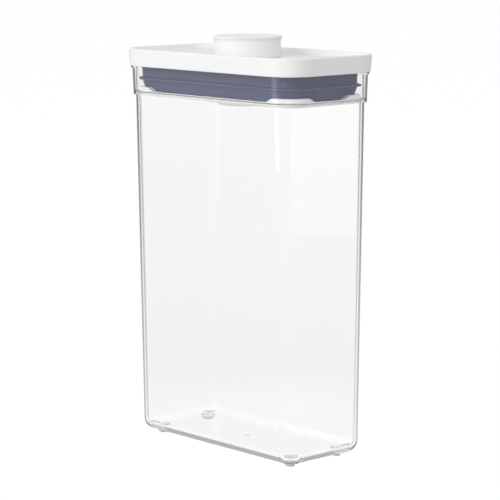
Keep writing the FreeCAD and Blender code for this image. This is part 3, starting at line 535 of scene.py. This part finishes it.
def make_spring():
    """The wound spring that lifts the button."""
    low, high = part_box("return_spring")
    rise = high.z - low.z - 2 * WIRE_RADIUS
    steps = SPRING_TURNS * SPRING_STEPS_PER_TURN
    bm = bmesh.new()
    bmesh.ops.create_circle(bm, segments=WIRE_SIDES, radius=WIRE_RADIUS)
    bmesh.ops.rotate(bm, verts=bm.verts, matrix=Matrix.Rotation(math.radians(90), 3, "X"))
    bmesh.ops.translate(bm, vec=(high.x - WIRE_RADIUS, 0, low.z + WIRE_RADIUS), verts=bm.verts)
    bmesh.ops.spin(bm, geom=bm.verts[:] + bm.edges[:], cent=(0, 0, 0), axis=(0, 0, 1),
                   dvec=(0, 0, rise / steps), angle=2 * math.pi * SPRING_TURNS, steps=steps)
    bmesh.ops.holes_fill(bm, edges=[edge for edge in bm.edges if edge.is_boundary], sides=WIRE_SIDES)
    spring = finish_mesh(bm, "button_spring", steel)
    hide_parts("return_spring")
    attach(spring, "lid")
    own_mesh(spring)


make_gasket()
make_hub_seal()
make_spring()


# Studio and camera

def seen_rays(tree):
    """1 for rays from the camera, glass and mirrors together, from glass alone and from mirrors alone."""
    path = tree.nodes.new("ShaderNodeLightPath").outputs
    through = path["Is Transmission Ray"]
    mirrored = reckon(tree, path["Is Glossy Ray"], through, "GREATER_THAN")
    direct = reckon(tree, path["Is Camera Ray"], through, "MAXIMUM")
    return reckon(tree, direct, mirrored, "MAXIMUM"), through, mirrored


def make_world():
    """A soft sky that lights the object, and plain white where it is seen."""
    world = bpy.data.worlds.new("studio")
    world.use_nodes = True
    tree = world.node_tree
    light = tree.nodes["Background"]
    way = parts_of(tree, tree.nodes.new("ShaderNodeTexCoord").outputs["Generated"])
    sky = spread(tree, way["Z"], SKY_LOW, SKY_HIGH)
    seen, _, _ = seen_rays(tree)
    tree.links.new(blend_of(tree, seen, sky, 1.0), light.inputs["Strength"])
    light.inputs["Color"].default_value = (1, 1, 1, 1)
    bpy.context.scene.world = world


def make_floor():
    """Pale paper that keeps the object's shadow, with a painted glow near the object in mirrors and a
    painted pool of light under the jar.
    """
    bm = bmesh.new()
    bmesh.ops.create_grid(bm, x_segments=1, y_segments=1, size=FLOOR_HALF)
    mesh = bpy.data.meshes.new("floor")
    bm.to_mesh(mesh)
    bm.free()
    floor = bpy.data.objects.new("floor", mesh)
    bpy.context.scene.collection.objects.link(floor)
    material, tree, paper = new_material("floor_paper")
    seen, through, mirrored = seen_rays(tree)
    tree.links.new(blend_of(tree, seen, FLOOR_BOUNCE, FLOOR_SEEN), paper.inputs["Base Color"])
    paper.inputs["Roughness"].default_value = 1.0
    paper.inputs["Specular IOR Level"].default_value = 0.0
    paper.inputs["Emission Color"].default_value = (1, 1, 1, 1)
    away = tree.nodes.new("ShaderNodeVectorMath")
    away.operation = "LENGTH"
    tree.links.new(own_place(tree), away.inputs[0])
    # painted glow: the floor seen in mirrors brighter near the object and dimmer further off
    shade = spread(tree, away.outputs["Value"], *PAINTED_MIRROR_GLOW, *MIRROR_FADE, "SMOOTHSTEP")
    # painted pool of light on the floor under the jar, seen through it
    painted_pool = spread(tree, away.outputs["Value"], *PAINTED_POOL_GLOW, *POOL_FADE, "SMOOTHSTEP")
    glow = blend_of(tree, through, reckon(tree, seen, FLOOR_LIFT, "MULTIPLY"), painted_pool)
    tree.links.new(blend_of(tree, mirrored, glow, shade), paper.inputs["Emission Strength"])
    mesh.materials.append(material)


def add_lamp(name, place, power, size, mirrored=True):
    """A soft box that looks at the object, with or without its image in glossy surfaces."""
    lamp = bpy.data.lights.new(name, "AREA")
    lamp.energy = power
    lamp.shape = "RECTANGLE"
    lamp.size, lamp.size_y = size
    holder = bpy.data.objects.new(name, lamp)
    holder.visible_glossy = mirrored
    holder.location = place
    holder.rotation_euler = (CAMERA_TARGET - place).to_track_quat("-Z", "Y").to_euler()
    bpy.context.scene.collection.objects.link(holder)


def make_camera():
    """The photograph's camera."""
    camera = bpy.data.cameras.new("camera")
    camera.sensor_width = SENSOR_MM
    camera.lens = FOCAL_PX * SENSOR_MM / IMAGE_WIDTH_PX
    camera.shift_x = (IMAGE_WIDTH_PX / 2 - MIDDLE_PX[0]) / IMAGE_WIDTH_PX
    camera.shift_y = (MIDDLE_PX[1] - IMAGE_WIDTH_PX / 2) / IMAGE_WIDTH_PX
    holder = bpy.data.objects.new("camera", camera)
    level = math.cos(CAMERA_ELEVATION)
    back = Vector((math.sin(CAMERA_AZIMUTH) * level, -math.cos(CAMERA_AZIMUTH) * level,
                   math.sin(CAMERA_ELEVATION)))
    holder.location = CAMERA_TARGET + back * CAMERA_DISTANCE
    aim = (-back).to_track_quat("-Z", "Y").to_matrix()
    holder.rotation_euler = (aim @ Matrix.Rotation(CAMERA_ROLL, 3, "Z")).to_euler()
    bpy.context.scene.collection.objects.link(holder)
    bpy.context.scene.camera = holder


make_world()
make_floor()
add_lamp("key", KEY_PLACE, KEY_POWER, KEY_SIZE)
add_lamp("fill", FILL_PLACE, FILL_POWER, FILL_SIZE, mirrored=False)
add_lamp("strip", STRIP_PLACE, STRIP_POWER, STRIP_SIZE)
add_lamp("top", TOP_PLACE, TOP_POWER, TOP_SIZE)
make_camera()
bpy.context.scene.view_settings.view_transform = "Standard"
